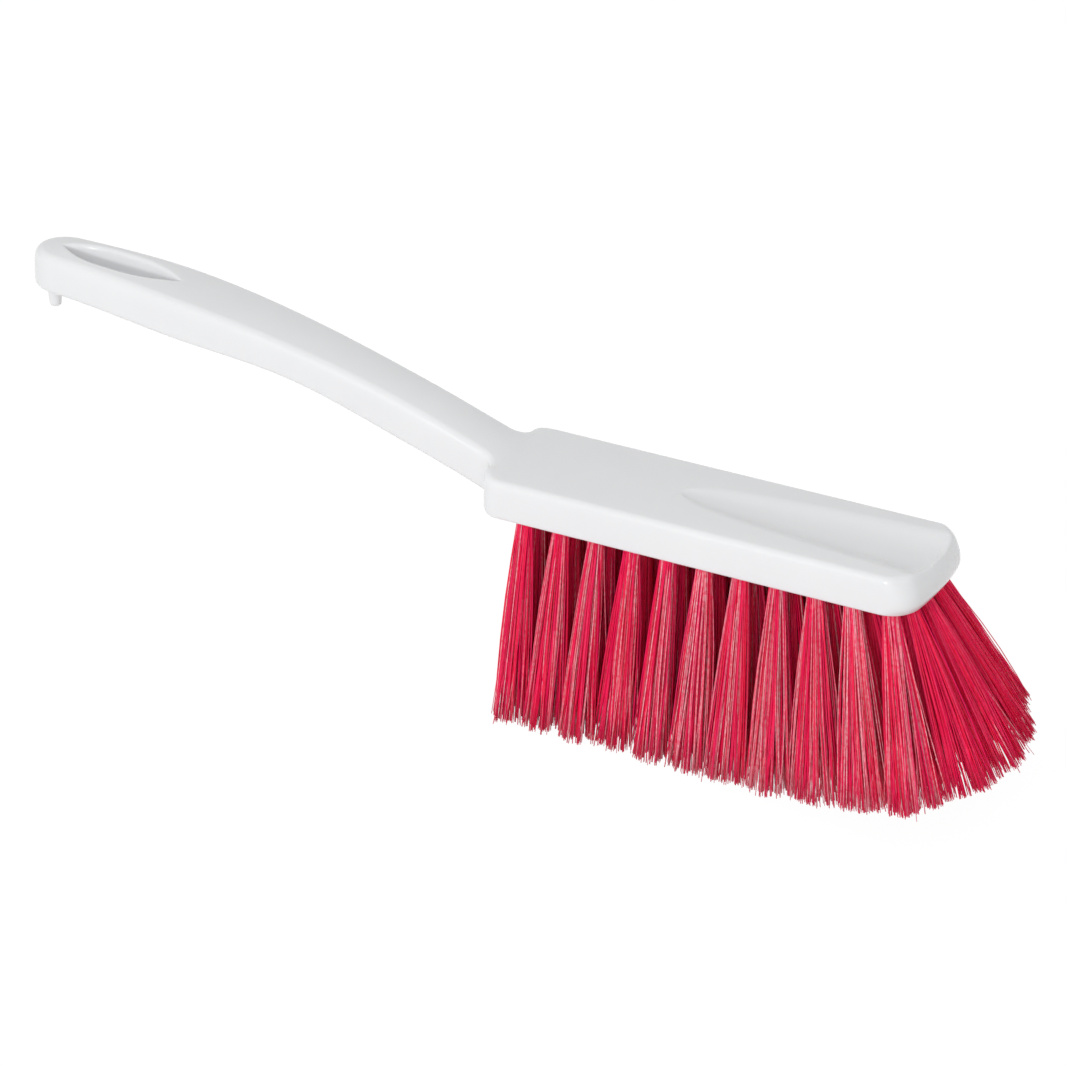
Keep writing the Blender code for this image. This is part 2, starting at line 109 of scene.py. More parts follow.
# Peg under the tip
PEG_FROM_SLOT = 0.0007
PEG_LENGTH = 0.0095
PEG_DIAMETER = 0.0052
PEG_END_DIAMETER = 0.004
PEG_ROUND = 0.0012
PEG_COLLAR = 0.0011
PEG_SINK = 0.002
PEG_SIDES = 40

# Thumb recess, which starts as a point in the block's top and runs out at its front
RECESS_LENGTH = 0.0892
RECESS_FRONT_RIM = 0.0019
RECESS_SIDE_LAND = 0.0075
RECESS_DEPTH = 0.0034
RECESS_FRONT_ROUND = 0.011
RECESS_START = BLOCK_LENGTH - RECESS_FRONT_RIM - RECESS_LENGTH
RECESS_HALF_WIDTH = BLOCK_WIDTH / 2.0 - RECESS_SIDE_LAND
RECESS_LIP = 0.001
RECESS_LEAST_LIP = 0.00005
RECESS_LIP_RUN = 0.125

# Powers by which the recess widens and deepens along its length, bowls across, and rises at its front
RECESS_WIDENING = 0.42
RECESS_DEEPENING = 0.5
RECESS_BOWL = 2.3
RECESS_FRONT_SLOPE = 2.6
RECESS_PINCH_SLOPE = 6.0

# Shares of the recess's depth that its front rises by, in its middle and in its corners, and of its
# width that it draws in by there
RECESS_FRONT_LIFT = 0.6
RECESS_CORNER = 0.16
RECESS_PINCH = 0.03

# Steps that the outline is drawn in, from the front round to the tip
FRONT_STEPS = 18
CORNER_STEPS = 21
SIDE_STEPS = 150
SHOULDER_STEPS = 18
FILLET_STEPS = 14
HANDLE_STEPS = 130
TIP_STEPS = 25

# Steps that the skin is drawn in at each place, from the slot's underside rim out and back to it
UNDER_STEPS = 6
BOTTOM_EDGE_STEPS = 6
LOW_WALL = (0.67, 0.33, 0.0)
HIGH_WALL = (0.2, 0.4, 0.6, 0.8)
TOP_EDGE_STEPS = 12
LAND_STEPS = 13
FLOOR_STEPS = 23
SLOT_TOP_STEPS = 6
SLOT_UNDER_STEPS = 5

# How much closer the top's rows lie at the recess's rim, and the rim's nearest and furthest row
LAND_CROWDING = 1.6
FLOOR_CROWDING = 1.5
NEAREST_RIM = 0.08
FURTHEST_RIM = 0.94

# The block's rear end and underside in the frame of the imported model
REAR_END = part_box("moulded_body")[0][0] + HANDLE_LENGTH
UNDERSIDE = 0.070


def smooth_step(value):
    """Runs smoothly from 0 to 1 as the value does."""
    value = min(max(value, 0.0), 1.0)
    return value * value * (3.0 - 2.0 * value)


def handle_share(x, blend):
    """How far along the handle a place is: 0 in the block, 1 at the tip, eased in over the blend."""
    run = HANDLE_ROOT - x
    if run <= -blend:
        run = 0.0
    elif run < blend:
        run = (run + blend) ** 2 / (4.0 * blend)
    return min(run / (HANDLE_ROOT + HANDLE_LENGTH), 1.0)


def rise(x, blend):
    """Height gained by the handle, whose top and underside follow one parabola."""
    return HANDLE_RISE * (1.0 - (1.0 - handle_share(x, blend)) ** 2)


def top_height(x):
    """Height of the top surface's edges over the block's underside."""
    return BLOCK_HEIGHT + rise(x, TOP_BLEND)


def blended(share, places, sizes):
    """A size along the handle, which eases from each of the sizes to the next between their places."""
    size = sizes[0]
    for index in range(len(places) - 1):
        passed = smooth_step((share - places[index]) / (places[index + 1] - places[index]))
        size += (sizes[index + 1] - sizes[index]) * passed
    return size


def handle_thickness(x):
    """Thickness of the handle: slimmest at its waist, and full again under the grip."""
    places = (NECK_PLACE, WAIST_PLACE, GRIP_PLACE, 1.0)
    sizes = (NECK_THICKNESS, WAIST_THICKNESS, GRIP_THICKNESS, TIP_THICKNESS)
    return blended(handle_share(x, 0.0), places, sizes)


def under_height(x):
    """Height of the underside, which the handle leaves with a small blend."""
    height = BLOCK_HEIGHT + rise(x, 0.0) - handle_thickness(x)
    if height < -UNDER_BLEND:
        return 0.0
    if height < UNDER_BLEND:
        return (height + UNDER_BLEND) ** 2 / (4.0 * UNDER_BLEND)
    return height


def handle_half_width(x):
    """Half the handle's width, from the slim neck to the broad grip and in again to the tip."""
    places = (NECK_PLACE, GRIP_PLACE, 1.0)
    return blended(handle_share(x, 0.0), places, (NECK_WIDTH, GRIP_WIDTH, TIP_WIDTH)) / 2.0


def top_edge(x):
    """Radius along the top edges."""
    share = handle_share(x, TOP_BLEND)
    on_handle = NECK_TOP_EDGE + (TIP_TOP_EDGE - NECK_TOP_EDGE) * smooth_step(share)
    return BLOCK_TOP_EDGE + (on_handle - BLOCK_TOP_EDGE) * smooth_step(share / EDGES_CHANGE_OVER)


def bottom_edge(x):
    """Radius along the bottom edges."""
    share = smooth_step(handle_share(x, 0.0) / EDGES_CHANGE_OVER)
    return BLOCK_BOTTOM_EDGE + (HANDLE_BOTTOM_EDGE - BLOCK_BOTTOM_EDGE) * share


def recess_front(x):
    """How far a place is up the recess's rising front: 0 behind it, and 1 at its rim."""
    return max(x - (BLOCK_LENGTH - RECESS_FRONT_RIM - RECESS_FRONT_ROUND), 0.0) / RECESS_FRONT_ROUND


def recess_half_width(x):
    """Half width of the thumb recess at a place, 0 behind its rear end and beyond its front end."""
    share = (x - RECESS_START) / RECESS_LENGTH
    if not 0.0 < share < 1.0:
        return 0.0
    pinch = 1.0 - RECESS_PINCH * recess_front(x) ** RECESS_PINCH_SLOPE
    return RECESS_HALF_WIDTH * share ** RECESS_WIDENING * pinch


def thumb_recess(x, y, drop):
    """What the thumb recess takes off a surface that lies a drop below the block's top."""
    share = (x - RECESS_START) / RECESS_LENGTH
    if share <= 0.0:
        return 0.0
    half_width = recess_half_width(x) if share < 1.0 else RECESS_HALF_WIDTH
    depth = RECESS_DEPTH * min(share, 1.0) ** RECESS_DEEPENING
    hollow = 1.0 - abs(y / half_width) ** RECESS_BOWL
    lift = RECESS_FRONT_LIFT * max(hollow, RECESS_CORNER) * recess_front(x) ** RECESS_FRONT_SLOPE
    inside = depth * (hollow - lift) - drop
    lip = RECESS_LIP * smooth_step(share / RECESS_LIP_RUN) + RECESS_LEAST_LIP
    if inside <= -lip:
        return 0.0
    if inside < lip:
        return (inside + lip) ** 2 / (4.0 * lip)
    return inside


def front_level(length, corner, bow):
    """The block's bowed front and its corner at one level, as (x, y, angle that the skin faces)."""
    half = BLOCK_WIDTH / 2.0
    turn = math.atan(2.0 * bow / (half - corner))
    flat = half - corner * (1.0 - math.sin(turn))
    points = []
    for share in np.linspace(0.0, 1.0, FRONT_STEPS):
        points.append((length - bow * share ** 2, flat * share, turn * share))
    for angle in np.linspace(turn, math.pi / 2.0, CORNER_STEPS)[1:]:
        x = length - bow - corner * (math.cos(turn) - math.cos(angle))
        points.append((x, flat + corner * (math.sin(angle) - math.sin(turn)), angle))
    return points


def side_places(corner_ends):
    """The block's straight side, from where the front corner ends at each level to the rear corner."""
    places = []
    for share in np.linspace(0.0, 1.0, SIDE_STEPS)[1:-1]:
        place = []
        for x, y, angle in corner_ends:
            place.append((x + (REAR_CORNER_PLACE - x) * share, y, angle))
        places.append(place)
    return places


def neck_places():
    """The rounded shoulder of the block and the hollow fillet that leads into the handle."""
    turn = math.acos(1.0 - (BLOCK_WIDTH - NECK_WIDTH) / 2.0 / (REAR_CORNER + NECK_FILLET))
    points = []
    for angle in np.linspace(0.0, turn, SHOULDER_STEPS):
        x = REAR_CORNER_PLACE - REAR_CORNER * math.sin(angle)
        y = BLOCK_WIDTH / 2.0 - REAR_CORNER * (1.0 - math.cos(angle))
        points.append((x, y, math.pi / 2.0 + angle))
    end = REAR_CORNER_PLACE - (REAR_CORNER + NECK_FILLET) * math.sin(turn)
    for angle in np.linspace(turn, 0.0, FILLET_STEPS)[1:]:
        y = NECK_WIDTH / 2.0 + NECK_FILLET * (1.0 - math.cos(angle))
        points.append((end + NECK_FILLET * math.sin(angle), y, math.pi / 2.0 + angle))
    return points


def handle_places(start):
    """The handle's side from the neck to its tip, which is half an ellipse."""
    tip_start = TIP_ROUND - HANDLE_LENGTH
    along = list(np.linspace(start, tip_start, HANDLE_STEPS)[1:-1])
    for rim in (0.0, SLOT_UNDER_RIM, SLOT_TOP_RIM / 2.0, SLOT_TOP_RIM):
        reach = SLOT_LENGTH / 2.0 - SLOT_TOP_RIM + rim
        along += [SLOT_MIDDLE - reach, SLOT_MIDDLE + reach]
    points = []
    for x in sorted((x for x in along if x > tip_start + 1e-6), reverse=True):
        points.append((x, handle_half_width(x), math.pi / 2.0))
    half = handle_half_width(tip_start)
    for angle in np.linspace(0.0, math.pi / 2.0, TIP_STEPS)[:-1]:
        x = tip_start - TIP_ROUND * math.sin(angle)
        points.append((x, half * math.cos(angle), math.pi / 2.0 + angle))
    points.append((-HANDLE_LENGTH, 0.0, math.pi))
    return points


def half_outline():
    """Places round one half of the moulding, each listed at the foot, the widest level and the top."""
    foot = front_level(BLOCK_LENGTH - FOOT_INSET, FOOT_CORNER, FOOT_BOW)
    widest = front_level(BLOCK_LENGTH, FRONT_CORNER, FRONT_BOW)
    top = front_level(BLOCK_LENGTH - TOP_INSET, TOP_CORNER, TOP_BOW)
    places = list(zip(foot, widest, top))
    places += side_places(places[-1])
    neck = neck_places()
    places += [(point, point, point) for point in neck + handle_places(neck[-1][0])]
    return places


def top_surface(x, y, half_width):
    """Height of the top at a place: slightly crowned, and hollowed by the thumb recess."""
    across = abs(y) / half_width if half_width > 1e-6 else 1.0
    near_front = max(x - (BLOCK_LENGTH - CROWN_END), 0.0) / CROWN_FADE
    near_tip = max(CROWN_END - HANDLE_LENGTH - x, 0.0) / CROWN_FADE
    fade = max(1.0 - near_front ** 2, 0.0) * max(1.0 - near_tip ** 2, 0.0)
    return top_height(x) + TOP_CROWN * (1.0 - across ** 2) * fade - thumb_recess(x, y, 0.0)


def slot_edge(x, rim_radius, angle):
    """Half width of the slot, and how far its rim has rounded off, at an angle round the rim."""
    power = SLOT_NECK_POWER if x > SLOT_MIDDLE else SLOT_TIP_POWER
    away = abs(x - SLOT_MIDDLE)
    wall_length = SLOT_LENGTH / 2.0 - SLOT_TOP_RIM
    wall_width = SLOT_WIDTH / 2.0 - SLOT_TOP_RIM
    offset = rim_radius * (1.0 - math.sin(angle))
    if away < wall_length + offset:
        half_width = (wall_width + offset) * (1.0 - (away / (wall_length + offset)) ** power)
        return half_width, rim_radius * (1.0 - math.cos(angle))
    closed_at = max(1.0 - (away - wall_length) / rim_radius, 0.0)
    return 0.0, rim_radius * (1.0 - math.sqrt(1.0 - closed_at ** 2))


def rounded(level, draft, radius, tilt):
    """A point round an edge: its x and y, and its distance from the flat surface that the edge ends in."""
    x, y, angle = level
    inset = draft + radius * (1.0 - math.cos(tilt))
    px, py = x - math.cos(angle) * inset, max(y - math.sin(angle) * inset, 0.0)
    return px, py, radius * (1.0 - math.sin(tilt))


def edge_tilt(level, widest, draft, radius, height):
    """The angle at which an edge's rounding takes over from the bulged wall."""
    tilt = 0.0
    for _ in range(4):
        px, py, _ = rounded(level, draft, radius, tilt)
        reach = (widest[0] - px) * math.cos(level[2]) + (widest[1] - py) * math.sin(level[2])
        tilt = math.atan2(max(2.0 * reach, 0.0), height + radius * math.sin(tilt))
    return tilt


def wall_rows(start, end, shares):
    """Points from the widest level, (x, y, z), to where an edge's rounding starts, along a bulge."""
    rows = []
    for share in shares:
        away = share ** 2
        rows.append((start[0] + (end[0] - start[0]) * away, start[1] + (end[1] - start[1]) * away,
                     start[2] + (end[2] - start[2]) * share))
    return rows


def across_top(x, outer, inner):
    """Where the top's rows lie across the moulding, set close together at the thumb recess's rim."""
    rim = recess_half_width(x)
    if rim <= 0.0:
        rim = inner + (outer - inner) * 0.5
    width = outer - inner
    rim = min(max(rim, inner + width * NEAREST_RIM), inner + width * FURTHEST_RIM)
    rows = []
    for share in np.linspace(1.0, 0.0, LAND_STEPS)[1:]:
        rows.append(rim + (outer - rim) * share ** LAND_CROWDING)
    for share in np.linspace(0.0, 1.0, FLOOR_STEPS)[1:]:
        rows.append(inner + (rim - inner) * (1.0 - share ** FLOOR_CROWDING))
    return rows


def half_ring(place):
    """The skin of one half at one place, from the slot's underside rim round and back to it."""
    foot, widest, top = place
    low_edge = bottom_edge(foot[0])
    turned = max(math.sin(2.0 * top[2]), 0.0)
    high_edge = top_edge(top[0]) + CORNER_TOP_SWELL * turned ** 2
    low = under_height(widest[0]) + low_edge
    clear = top_height(widest[0]) - high_edge - low
    low_tilt = edge_tilt(foot, widest, 0.0, low_edge, clear * WIDEST_LEVEL)
    high_tilt = edge_tilt(top, widest, SIDE_DRAFT, high_edge, clear * (1.0 - WIDEST_LEVEL))
    ring = []
    px, py, _ = rounded(foot, 0.0, low_edge, math.pi / 2.0)
    inner, _ = slot_edge(px, SLOT_UNDER_RIM, 0.0)
    for share in np.linspace(0.0, 1.0, UNDER_STEPS)[:-1]:
        ring.append((px, inner + (py - inner) * share, under_height(px)))
    for tilt in np.linspace(math.pi / 2.0, low_tilt, BOTTOM_EDGE_STEPS):
        px, py, drop = rounded(foot, 0.0, low_edge, tilt)
        ring.append((px, py, under_height(px) + drop))
    middle = (widest[0], widest[1], low + clear * WIDEST_LEVEL)
    ring += wall_rows(middle, ring[-1], LOW_WALL)
    px, py, drop = rounded(top, SIDE_DRAFT, high_edge, high_tilt)
    start = (px, py, top_height(px) - drop)
    ring += wall_rows(middle, start, HIGH_WALL)
    for tilt in np.linspace(high_tilt, math.pi / 2.0, TOP_EDGE_STEPS):
        px, py, drop = rounded(top, SIDE_DRAFT, high_edge, tilt)
        ring.append((px, py, top_height(px) - drop - thumb_recess(px, py, drop)))
    inner, _ = slot_edge(px, SLOT_TOP_RIM, 0.0)
    for row_y in across_top(px, py, inner):
        ring.append((px, row_y, top_surface(px, row_y, py)))
    for angle in np.linspace(0.0, math.pi / 2.0, SLOT_TOP_STEPS)[1:]:
        inner, drop = slot_edge(px, SLOT_TOP_RIM, angle)
        ring.append((px, inner, top_surface(px, inner, py) - drop))
    for angle in np.linspace(math.pi / 2.0, 0.0, SLOT_UNDER_STEPS):
        inner, drop = slot_edge(px, SLOT_UNDER_RIM, angle)
        ring.append((px, inner, under_height(px) + drop))
    return ring


def moulding_skin():
    """The whole skin of the moulding, welded along its middle plane."""
    bm = bmesh.new()
    known = {}

    def vertex(x, y, z):
        key = (round(x, 7), round(y, 7), round(z, 7))
        if key not in known:
            known[key] = bm.verts.new((x + REAR_END, y, z + UNDERSIDE))
        return known[key]

    rings = [half_ring(place) for place in half_outline()]
    for side in (1.0, -1.0):
        for first, second in zip(rings, rings[1:]):
            for index in range(len(first)):
                after = (index + 1) % len(first)
                corners = [first[index], first[after], second[after], second[index]]
                if max(corner[1] for corner in corners) < 1e-7:
                    continue
                face = []
                for x, y, z in corners:
                    vert = vertex(x, side * y if y > 1e-7 else 0.0, z)
                    if vert not in face:
                        face.append(vert)
                if len(face) > 2 and bm.faces.get(face) is None:
                    bm.faces.new(face)
    bmesh.ops.recalc_face_normals(bm, faces=bm.faces)
    return bm


def add_object(name, bm, material):
    """An object made from a bmesh, shaded smooth with its sharp edges kept."""
    mesh = bpy.data.meshes.new(name)
    bm.to_mesh(mesh)
    bm.free()
    mesh.shade_smooth()
    mesh.set_sharp_from_angle(angle=math.radians(40.0))
    mesh.materials.append(material)
    item = bpy.data.objects.new(name, mesh)
    bpy.context.collection.objects.link(item)
    return item


def linear(code):
    """An sRGB hex colour as the linear colour that a shader takes."""
    channels = [int(code[place:place + 2], 16) / 255.0 for place in (1, 3, 5)]
    return (*[c / 12.92 if c <= 0.04045 else ((c + 0.055) / 1.055) ** 2.4 for c in channels], 1.0)


def add_node(tree, kind, settings, links):
    """Adds a node, with its settings, and with a value or another node's output for each named input."""
    node = tree.nodes.new(kind)
    for name, value in settings.items():
        setattr(node, name, value)
    for name, value in links.items():
        if isinstance(value, bpy.types.NodeSocket):
            tree.links.new(value, node.inputs[name])
        else:
            node.inputs[name].default_value = value
    return node


def new_material(name):
    """A material with its node tree and its shader."""
    material = bpy.data.materials.new(name)
    material.use_nodes = True
    return material, material.node_tree, material.node_tree.nodes["Principled BSDF"]


# Polypropylene, injection moulded in a satin-finished tool. It gives a soft milky white with broad,
# weak highlights, a faint waviness where it shrank on cooling, and a very fine spark-eroded grain.
# The patterns' sizes are in millimetres. The real grain, about 0.05 mm, is too fine to show in the
# render, so it is drawn coarser.
FLOW_MARKS_MM = 22.2
POLISH_MARKS_MM = 6.25
SPARK_GRAIN_MM = 0.4
SINK_WAVES_MM = 11.1
GRAIN_HEIGHT = 0.00004
SINK_HEIGHT = 0.00015

moulded_white, tree, shader = new_material("moulded_white_polypropylene")
shader.inputs["IOR"].default_value = 1.49
shader.inputs["Subsurface Weight"].default_value = 0.4
shader.inputs["Subsurface Radius"].default_value = (1.0, 0.95, 0.9)
shader.inputs["Subsurface Scale"].default_value = 0.003
where = add_node(tree, "ShaderNodeTexCoord", {}, {}).outputs["Object"]
flow = add_node(tree, "ShaderNodeTexNoise", {},
                {"Vector": where, "Scale": 1000.0 / FLOW_MARKS_MM, "Detail": 2.0})
tint = add_node(tree, "ShaderNodeMix", {"data_type": "RGBA"}, {"Factor": flow.outputs["Fac"]})
tint.inputs["A"].default_value = linear("#ECEDEF")
tint.inputs["B"].default_value = linear("#F1F2F3")
tree.links.new(tint.outputs["Result"], shader.inputs["Base Color"])
polish = add_node(tree, "ShaderNodeTexNoise", {},
                  {"Vector": where, "Scale": 1000.0 / POLISH_MARKS_MM, "Detail": 3.0})
gloss = add_node(tree, "ShaderNodeMapRange", {},
                 {"Value": polish.outputs["Fac"], "To Min": 0.15, "To Max": 0.21})
tree.links.new(gloss.outputs["Result"], shader.inputs["Roughness"])
grain = add_node(tree, "ShaderNodeTexNoise", {},
                 {"Vector": where, "Scale": 1000.0 / SPARK_GRAIN_MM, "Detail": 1.0})
fine = add_node(tree, "ShaderNodeBump", {},
                {"Height": grain.outputs["Fac"], "Strength": 0.12, "Distance": GRAIN_HEIGHT})
sink = add_node(tree, "ShaderNodeTexNoise", {},
                {"Vector": where, "Scale": 1000.0 / SINK_WAVES_MM, "Detail": 1.0})
wave = add_node(tree, "ShaderNodeBump", {},
                {"Height": sink.outputs["Fac"], "Strength": 0.2, "Distance": SINK_HEIGHT,
                 "Normal": fine.outputs["Normal"]})
tree.links.new(wave.outputs["Normal"], shader.inputs["Normal"])


def lathe(bm, profile, centre, sides):
    """A closed turned form about a vertical line, from (radius, height) pairs."""
    rows = []
    for radius, height in profile:
        row = []
        for side in range(sides):
            angle = 2.0 * math.pi * side / sides
            around = Vector((radius * math.cos(angle), radius * math.sin(angle), height))
            row.append(bm.verts.new(centre + around))
        rows.append(row)
    bm.faces.new(rows[0])
    bm.faces.new(rows[-1])
    for first, second in zip(rows, rows[1:]):
        for side in range(sides):
            after = (side + 1) % sides
            bm.faces.new((first[side], first[after], second[after], second[side]))


def tip_peg():
    """The short blunt peg under the handle's tip, flared where it grows out of the handle."""
    x = SLOT_FROM_TIP - PEG_FROM_SLOT - PEG_DIAMETER / 2.0 - HANDLE_LENGTH
    centre = Vector((REAR_END + x, 0.0, UNDERSIDE + under_height(x)))
    radius, end = PEG_DIAMETER / 2.0, PEG_END_DIAMETER / 2.0
    profile = [(radius + PEG_COLLAR, PEG_SINK), (radius + PEG_COLLAR, PEG_SINK / 5.0)]
    for angle in np.linspace(math.radians(15.0), math.pi / 2.0, 6):
        flare = PEG_ROUND * (1.0 - math.sin(angle))
        profile.append((radius + flare, PEG_SINK / 10.0 - PEG_ROUND * (1.0 - math.cos(angle))))
    for angle in np.linspace(0.0, math.radians(80.0), 7):
        inset = PEG_ROUND * (1.0 - math.cos(angle))
        profile.append((end - inset, PEG_ROUND * (1.0 - math.sin(angle)) - PEG_LENGTH))
    bm = bmesh.new()
    lathe(bm, profile, centre, PEG_SIDES)
    bmesh.ops.recalc_face_normals(bm, faces=bm.faces)
    return bm


def fuse(body, other):
    """Joins another solid to the body, and removes what was used."""
    modifier = body.modifiers.new(other.name, "BOOLEAN")
    modifier.operation = "UNION"
    modifier.object = other
    bpy.context.view_layer.update()
    joined = body.evaluated_get(bpy.context.evaluated_depsgraph_get())
    result = bpy.data.meshes.new_from_object(joined)
    body.modifiers.clear()
    body.data = result
    bpy.data.objects.remove(other, do_unlink=True)


moulding = add_object("moulded_block_and_handle", moulding_skin(), moulded_white)
fuse(moulding, add_object("peg", tip_peg(), moulded_white))
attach(moulding, "root")
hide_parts("moulded_body")


# Bristle tufts
#
# Each tuft is a bundle of crimson polyester filaments, folded in half over a flat wire, driven into
# its hole and trimmed level. The bundle is packed tight at the hole and flares out below it, and
# the front tufts are drilled at a slant, so that they fan out and reach into corners.

# Holes, and the way that the bundles lean, which changes to the fan over the last few columns
TUFT_ROWS = 5
TUFT_COLUMNS = 11
FIRST_TUFT = 0.0178
LAST_TUFT = 0.0109
SIDE_TUFT = 0.0064
FRONT_ARC = 0.003
HOLE_DIAMETER = 0.0055
BRISTLE_HEIGHT = 0.070
BRISTLE_TRIM = 0.0015
REAR_LEAN = math.radians(-1.5)
FRONT_LEAN = math.radians(33.0)
FRONT_CORNER_LEAN = math.radians(22.0)
SIDE_LEAN = math.radians(8.0)
FRONT_SIDE_LEAN = math.radians(24.0)
FAN_POWER = 4.0
FRONT_SHORTENING = 0.1
TIP_REACH = 0.0069
OUTER_REACH = 0.0048
FRONT_REACH = 0.003

# Filaments in a tuft, and how many more the fanned tufts get
FILAMENTS = 190
FAN_EXTRA = 0.35
FILAMENT_RADIUS = 0.00019
FILAMENT_SIDES = 4
FILAMENT_PARTS = 6
FILAMENT_END = 0.75
FILAMENT_GIRTHS = (0.85, 1.15)
ROOT_SHARE = 0.06
FLARE_POWER = 1.12
GOLDEN_ANGLE = 2.39996
ANY_ANGLE = 6.28

# Locks that cling together at the ends, and how the single filaments differ in place and in length
LOCKS = 15
LOCK_CLING = 0.42
LOCK_STEP = 0.0009
TIP_SPREAD = 1.04
TIP_SPREAD_SCATTER = 0.06
TIP_SCATTER = 0.0006
BOW_SCATTER = 0.0007
STRAY_SHARE = 0.018
STRAY_REACH = 0.0042
TRIM_SCATTER = 0.0006
TRIM_LEAST = 0.0001
SHORT_SHARE = 0.03
SHORT_MOST = 0.05

# Share of filaments that get a painted highlight, a whitish pink glint in their base colour. It is least
# at the rear, more round one column, where the bristles face the key light, and halved behind the near
# row, which lies in shade. Then how the share differs by tuft, and how strong the painted highlight is on
# the chosen, the plain and the stray filaments
GLINT_LEAST = 0.18
GLINT_MORE = 0.4
GLINT_COLUMN = 7.0
GLINT_SPREAD = 2.8
GLINT_BEHIND = 0.5
GLINT_BY_TUFT = (0.6, 1.4)
GLINTING = (0.45, 1.0)
PLAIN_GLINT = (0.0, 0.12)
STRAY_GLINT = (0.3, 0.9)


def tuft_place(row, column):
    """The hole's mouth, the axis down the bundle, the bristles' length, and the share of the fan."""
    across = 2.0 * row / (TUFT_ROWS - 1) - 1.0
    fan = (column / (TUFT_COLUMNS - 1)) ** FAN_POWER
    pitch = (BLOCK_LENGTH - FIRST_TUFT - LAST_TUFT) / (TUFT_COLUMNS - 1)
    x = FIRST_TUFT + pitch * column + FRONT_ARC * (1.0 - across ** 2) * fan
    y = across * (BLOCK_WIDTH / 2.0 - SIDE_TUFT)
    front_lean = FRONT_LEAN + (FRONT_CORNER_LEAN - FRONT_LEAN) * across ** 2
    lean = REAR_LEAN + (front_lean - REAR_LEAN) * fan
    side_lean = (SIDE_LEAN + (FRONT_SIDE_LEAN - SIDE_LEAN) * fan) * across
    axis = np.array((math.tan(lean), math.tan(side_lean), -1.0))
    length = (BRISTLE_HEIGHT + BRISTLE_TRIM) * (1.0 - FRONT_SHORTENING * fan)
    return np.array((REAR_END + x, y, UNDERSIDE)), axis / np.linalg.norm(axis), length, fan


def tip_middle(row, column):
    """Where the middle of a tuft's bristle ends lies."""
    mouth, axis, length, _ = tuft_place(row, column)
    return mouth + axis / -axis[2] * min(length * -axis[2], BRISTLE_HEIGHT)


def tip_reach(row, column, row_step, column_step):
    """The way from the middle of a tuft's ends to where they meet a neighbour's, or to the outside."""
    here = tip_middle(row, column)
    if 0 <= row + row_step < TUFT_ROWS and 0 <= column + column_step < TUFT_COLUMNS:
        way = (tip_middle(row + row_step, column + column_step) - here) / 2.0
        return way * max(1.0, TIP_REACH / np.linalg.norm(way))
    way = here - tip_middle(row - row_step, column - column_step)
    reach = FRONT_REACH if column_step > 0 else OUTER_REACH
    return way * (reach / np.linalg.norm(way))


def filament_paths(row, column, dice):
    """A tuft's middle lines, as an array of filament, point and coordinate, and which are strays."""
    mouth, _, _, fan = tuft_place(row, column)
    count = int(FILAMENTS * (1.0 + FAN_EXTRA * fan))
    order = np.arange(count) + 0.5
    angle = order * GOLDEN_ANGLE + dice.uniform(0.0, ANY_ANGLE)
    disc = np.sqrt(order / count)[:, None] * np.stack((np.cos(angle), np.sin(angle)), 1)
    root = np.zeros((count, 3))
    root[:, :2] = disc * (HOLE_DIAMETER / 2.0 - FILAMENT_RADIUS)
    tip = np.maximum(disc[:, :1], 0.0) * tip_reach(row, column, 0, 1)
    tip += np.maximum(-disc[:, :1], 0.0) * tip_reach(row, column, 0, -1)
    tip += np.maximum(disc[:, 1:], 0.0) * tip_reach(row, column, 1, 0)
    tip += np.maximum(-disc[:, 1:], 0.0) * tip_reach(row, column, -1, 0)
    heads = dice.choice(count, LOCKS, replace=False)
    lock = np.argmin(np.linalg.norm(disc[:, None] - disc[heads], axis=2), axis=1)
    tip += LOCK_CLING * (tip[heads[lock]] - tip)
    tip *= dice.normal(TIP_SPREAD, TIP_SPREAD_SCATTER, count)[:, None]
    tip[:, :2] += dice.normal(0.0, TIP_SCATTER, (count, 2))
    stray = dice.random(count) < STRAY_SHARE
    tip[stray, :2] += dice.uniform(-STRAY_REACH, STRAY_REACH, (int(stray.sum()), 2))
    bow = np.zeros((count, 3))
    bow[:, :2] = dice.normal(0.0, BOW_SCATTER, (count, 2))
    trimmed = 1.0 - (np.abs(dice.normal(0.0, TRIM_SCATTER, count)) + TRIM_LEAST) / BRISTLE_HEIGHT
    trimmed -= (dice.random(count) < SHORT_SHARE) * dice.uniform(0.0, SHORT_MOST, count)
    trimmed -= dice.uniform(0.0, LOCK_STEP / BRISTLE_HEIGHT, LOCKS)[lock]
    fall = tip_middle(row, column) - mouth
    shares = np.concatenate(([-ROOT_SHARE, 0.0], np.linspace(0.0, 1.0, FILAMENT_PARTS)[1:]))
    paths = np.empty((count, len(shares), 3))
    for index, share in enumerate(shares):
        along = trimmed[:, None] * share
        flared = np.maximum(along, 0.0) ** FLARE_POWER
        paths[:, index] = mouth + fall * along + root * (1.0 - flared) + tip * flared
        paths[:, index] += bow * math.sin(math.pi * max(share, 0.0))
    return paths, stray


def filament_prisms(paths, dice):
    """The corners of the filaments, which are thin prisms of slightly differing girth."""
    count, points, _ = paths.shape
    turns = np.arange(FILAMENT_SIDES) * 2.0 * math.pi / FILAMENT_SIDES
    angles = dice.uniform(0.0, ANY_ANGLE, count)[:, None] + turns
    girth = FILAMENT_RADIUS * dice.uniform(*FILAMENT_GIRTHS, count)
    taper = np.ones(points)
    taper[-1] = FILAMENT_END
    ring = np.stack((np.cos(angles), np.sin(angles), np.zeros_like(angles)), -1)
    return paths[:, :, None, :] + ring[:, None] * (girth[:, None] * taper)[:, :, None, None]


